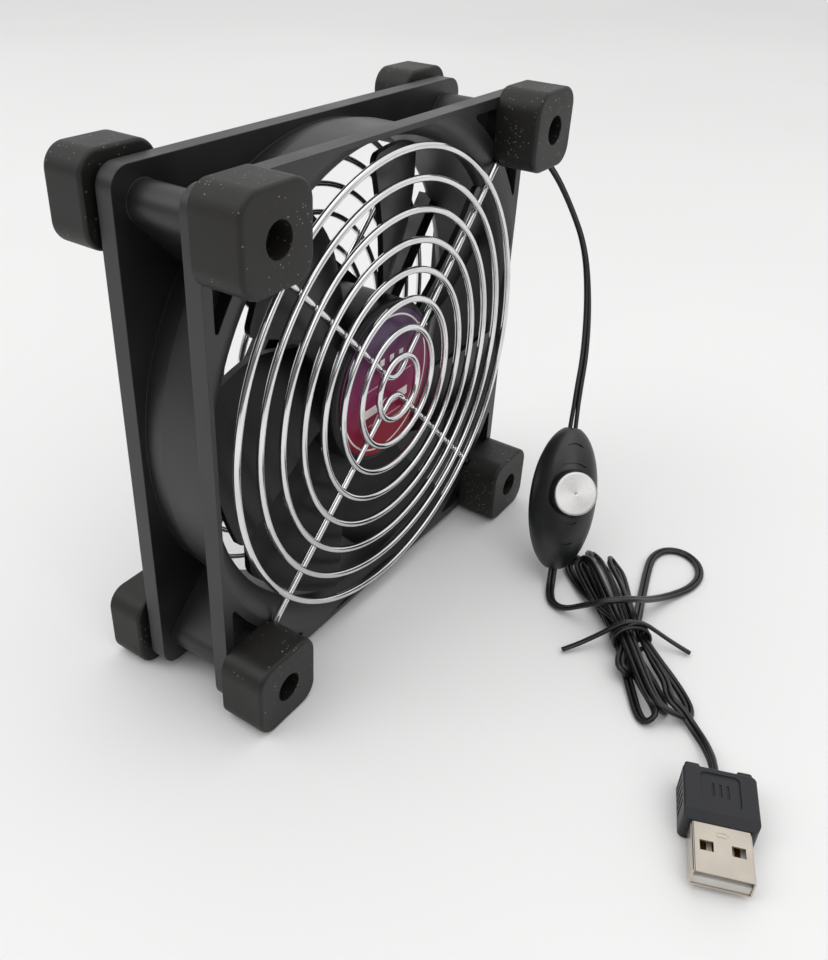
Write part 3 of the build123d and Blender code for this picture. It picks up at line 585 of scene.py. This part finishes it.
def lead_piece(name, points, exit_at, length, far_end, nodes, material, parted=0, on_edge=0, **words):
    """A twin lead along its route, with a point every millimetre. Its cores part over the last few
    steps, if any, and it turns onto its edge over the last few, if any."""
    line = smooth_route(points)
    core = round_section(LEAD_T / 2, 12)
    apart = []
    for i in range(len(line)):
        left = len(line) - 1 - i
        share = max(0.0, 1 - left / parted) if parted else 0.0
        apart.append(((LEAD_W - LEAD_T) + (CORES_APART * 2 - LEAD_W + LEAD_T) * share) / 2)
    parts = []
    for side in (1, -1):
        offsets = [side * a for a in apart]
        parts.append(swept(line, core, Vector((0.6, -0.8, 0)), settle=0.06, offsets=offsets, on_edge=on_edge))
    piece = paint(mesh_piece(name, *joined(parts)), material)
    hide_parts(*nodes)
    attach(piece, "fan")
    return piece


def tie_piece(material):
    """A flat wire tie: two turns round the hank's waist and its two free ends."""
    section = flat_section(TIE_W, TIE_T)
    parts = []
    for points in TIE_ENDS:
        parts.append(swept(smooth_route(points, 0.0006), section, Vector((0.6, 0.8, 0))))
    for along, lean in TIE_TURNS:
        parts.append(wrap(along, lean, section))
    piece = paint(mesh_piece("tie_wire", *joined(parts)), material)
    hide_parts("hank_tie")
    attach(piece, "fan")
    return piece


def wrap(along, lean, section):
    """One closed turn round the waist, an oval that leans a little along the hank."""
    count = 60
    line = []
    for k in range(count):
        a = 2 * pi * k / count
        across = TIE_CENTRE[0] + TIE_HALF[0] * cos(a)
        height = TIE_CENTRE[1] + TIE_HALF[1] * sin(a)
        line.append(Vector(hank_point(along + lean * sin(a), across, height)))
    long_way = Vector((cos(radians(HANK_TURN)), sin(radians(HANK_TURN)), 0))
    return swept(line, section, long_way, closed=True)


# ---------------------------------------------------------------- speed control

def knob_disc():
    """The turned disc in the knob: a flat face with fine steps, a small centre dimple and a
    chamfered rim. Its own Z axis is the knob's."""
    profile = [(0.00012, -0.00006), (0.0004, -0.00001)]
    steps = 14
    for k in range(steps):
        near = 0.0004 + (DISC_R - 0.0009) * k / steps
        profile += [(near + 0.00004, 0.0), (near + 0.00020, 0.000012)]
    profile += [(DISC_R - 0.00030, 0.0), (DISC_R - 0.00018, -0.00002), (DISC_R, -0.00020), (DISC_R, -0.00045)]
    count = 96
    points = [(0, 0, -0.00008)]
    for radius, height in profile:
        points += [(radius * cos(2 * pi * k / count), radius * sin(2 * pi * k / count), height)
                   for k in range(count)]
    faces = [(0, 1 + k, 1 + (k + 1) % count) for k in range(count)]
    for ring in range(len(profile) - 1):
        here, there = 1 + ring * count, 1 + (ring + 1) * count
        faces += [(here + k, there + k, there + (k + 1) % count, here + (k + 1) % count)
                  for k in range(count)]
    last = 1 + (len(profile) - 1) * count
    faces.append(tuple(last + k for k in reversed(range(count))))
    piece = paint(mesh_piece("knob_disc", points, faces), spun_metal())
    piece.location = KNOB + KNOB_AXIS * DISC_OUT
    piece.rotation_euler = KNOB_AXIS.to_track_quat("Z", "Y").to_euler()
    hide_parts("knob_cap")
    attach(piece, "knob")
    return piece


# ---------------------------------------------------------------- stage

def make_stage():
    size = 6.0
    floor = mesh_piece("floor", [(-size, -size, 0), (size, -size, 0), (size, size, 0), (-size, size, 0)],
                       [(0, 1, 2, 3)], smooth=False)
    material, tree, shader, place = new_material("floor_paper", Roughness=0.8)
    patches = noise(tree, place, 1.6, 3)
    colour = blend_colours(tree, between(tree, patches, 0.3, 0.7), (0.80, 0.80, 0.795), (0.84, 0.84, 0.835))
    tree.links.new(colour, shader.inputs["Base Color"])
    bump(tree, shader, noise(tree, place, 9, 4), 0.0015, 0.35)
    paint(floor, material)


def area_light(name, at, aim, size, power, colour=(1, 1, 1)):
    light = bpy.data.lights.new(name, "AREA")
    light.shape = "SQUARE"
    light.size = size
    light.energy = power
    light.color = colour
    holder = bpy.data.objects.new(name, light)
    holder.location = at
    holder.rotation_euler = (Vector(aim) - Vector(at)).to_track_quat("-Z", "Y").to_euler()
    bpy.context.scene.collection.objects.link(holder)


def make_lights():
    """A room that is dark on the camera's side and bright beyond and above, with three soft lights."""
    world = bpy.data.worlds.new("studio")
    bpy.context.scene.world = world
    world.use_nodes = True
    tree = world.node_tree
    background = tree.nodes["Background"]
    way = add(tree, "ShaderNodeTexCoord").outputs["Generated"]
    facing = add(tree, "ShaderNodeVectorMath", {0: way, 1: FAR_SIDE}, operation="DOT_PRODUCT")
    share = between(tree, facing.outputs["Value"], -0.35, 0.65)
    colour = blend_colours(tree, share, ROOM_NEAR, ROOM_FAR)
    tree.links.new(colour, background.inputs["Color"])
    background.inputs["Strength"].default_value = 1.0
    centre = (0, -0.03, 0.05)
    for name, at, size, power in LIGHTS:
        area_light(name, at, centre, size, power)
    bpy.context.scene.view_settings.view_transform = "Standard"


def make_camera():
    data = bpy.data.cameras.new("camera")
    data.lens = CAMERA_LENS
    data.sensor_width = 36
    data.shift_x, data.shift_y = CAMERA_SHIFT
    data.clip_start = 0.01
    camera = bpy.data.objects.new("camera", data)
    right = CAMERA_UP.cross(CAMERA_BACK).normalized()
    turn = Matrix((right, CAMERA_UP.normalized(), CAMERA_BACK.normalized())).transposed()
    camera.matrix_world = Matrix.Translation(CAMERA_AT) @ turn.to_4x4()
    bpy.context.scene.collection.objects.link(camera)
    bpy.context.scene.camera = camera


# ---------------------------------------------------------------- assembly

def finishes():
    """Every CAD node's material, by the name of the node."""
    frame_plastic = moulded("frame_plastic", (0.0085, 0.0087, 0.0092), (0.0130, 0.0133, 0.0140), 0.44,
                            edge=0.0003, Specular_IOR_Level=0.62)
    blade = moulded("blade_plastic", (0.0045, 0.0045, 0.005), (0.008, 0.008, 0.0085), 0.36,
                    Specular_IOR_Level=0.35)
    rubber = moulded("foot_rubber", (0.0046, 0.0040, 0.0034), (0.0098, 0.0085, 0.0070), 0.54, dust=0.55,
                     grain=1500, depth=1.6e-5, edge=0.0003, Specular_IOR_Level=0.46)
    shell = moulded("control_plastic", (0.0075, 0.0080, 0.0092), (0.0110, 0.0116, 0.0132), 0.36,
                    grain=1900, depth=3e-6, Specular_IOR_Level=0.60)
    ivory = moulded("ivory_nylon", (0.62, 0.60, 0.54), (0.70, 0.68, 0.62), 0.45)
    trim = moulded("black_trim", (0.010, 0.010, 0.011), (0.015, 0.015, 0.016), 0.45)
    vinyl = lead_vinyl()
    steel = metal("ground_steel", (0.60, 0.60, 0.61), 0.24, 0.05, (1, 0.1, 1))
    chrome = metal("guard_chrome", (0.80, 0.80, 0.81), 0.09, 0.03)
    black_steel = metal("blackened_steel", (0.10, 0.10, 0.105), 0.38, 0.08)
    looks = {
        "fan_frame": frame_plastic,
        "front_guard": chrome,
        "rear_guard": chrome,
        "front_screws": black_steel,
        "rear_screws": black_steel,
        "impeller": blade,
        "rotor_label": printed_label(),
        "rotor_yoke": metal("zinc_plate", (0.50, 0.50, 0.51), 0.36, 0.06),
        "rotor_magnet": moulded("ferrite", (0.030, 0.030, 0.032), (0.050, 0.049, 0.048), 0.7, depth=1.2e-5),
        "rotor_shaft": steel,
        "shaft_clip": ivory,
        "bearing_bush": metal("sintered_bronze", (0.52, 0.38, 0.20), 0.45, 0.08, depth=6e-6),
        "bearing_cap": ivory,
        "stator_core": wound("laminations", (0.12, 0.12, 0.125), (0.42, 0.42, 0.43), 0.0005, 3e-5,
                             Metallic=1.0, Roughness=0.4),
        "stator_bobbins": ivory,
        "stator_coils": wound("copper_wire_groove_shade", (0.20, 0.06, 0.02), (0.72, 0.30, 0.12), 0.00032, 6e-5,
                              Metallic=1.0, Roughness=0.3),
        "motor_board": board_lacquer(),
        "board_parts": trim,
        "rear_label": moulded("rear_film", (0.34, 0.34, 0.35), (0.42, 0.42, 0.43), 0.32, depth=2e-6),
        "lead_in_strut": vinyl,
        "lead_clip": trim,
        "control_front_shell": shell,
        "control_rear_shell": shell,
        "speed_knob": moulded("knob_plastic", (0.006, 0.006, 0.0065), (0.009, 0.009, 0.010), 0.38),
        "knob_cap": steel,
        "control_spindle": steel,
        "potentiometer": moulded("pot_case", (0.020, 0.050, 0.16), (0.030, 0.070, 0.20), 0.4),
        "control_board": board_lacquer(),
        "plug_overmould": moulded("plug_vinyl", (0.0050, 0.0056, 0.0092), (0.0084, 0.0092, 0.0135), 0.42,
                                  grain=3600, depth=1.1e-5, edge=0.0003, Specular_IOR_Level=0.45),
        "plug_shell": metal("plug_nickel", (0.66, 0.60, 0.52), 0.27, 0.06, (1, 1, 1), depth=3e-6),
        "plug_tongue": moulded("tongue_plastic", (0.55, 0.53, 0.49), (0.64, 0.62, 0.58), 0.42),
        "plug_contacts": metal("gilt", (0.86, 0.60, 0.24), 0.22),
        "hank_tie": vinyl,
    }
    for name in frame["nodes"]:
        if name.startswith("foot_"):
            looks[name] = rubber
        elif name in ("fan_lead", "loop_lead", "plug_lead", "lead_hank"):
            looks[name] = vinyl
    return looks


def lead_vinyl():
    return moulded("lead_vinyl", (0.0040, 0.0042, 0.0048), (0.0072, 0.0074, 0.0082), 0.30, grain=900,
                   depth=4e-6, Specular_IOR_Level=0.45)


def main():
    make_camera()
    make_stage()
    make_lights()
    nodes = frame["nodes"]
    looks = finishes()
    for name, node in nodes.items():
        paint(node, looks[name])
    vinyl = looks["fan_lead"]
    tie = tie_piece(vinyl)
    disc = knob_disc()
    control = [nodes[name] for name in ("control_front_shell", "control_rear_shell", "control_board",
                                        "control_spindle", "potentiometer", "speed_knob")]
    plug = [nodes[name] for name in ("plug_overmould", "plug_shell", "plug_tongue", "plug_contacts")]
    lead_piece("fan_lead_cord", FAN_LEAD, FAN_LEAD[0], FAN_LEAD_LENGTH, "fitting", ["fan_lead"], vinyl,
               parted=9, lay="loose", with_pieces=[disc, *control])
    lead_piece("usb_lead_cord", LOOP_LEAD + hank_points() + PLUG_LEAD, LOOP_LEAD[0], USB_LEAD_LENGTH, "plug",
               ["loop_lead", "lead_hank", "plug_lead"], vinyl, on_edge=round(TURNS_ON_EDGE / STEP),
               lay="coiled", with_pieces=[tie, *plug])
    guard_wires("front_guard_wires", "front_guard", -1, looks["front_guard"])
    guard_wires("rear_guard_wires", "rear_guard", 1, looks["rear_guard"])


main()
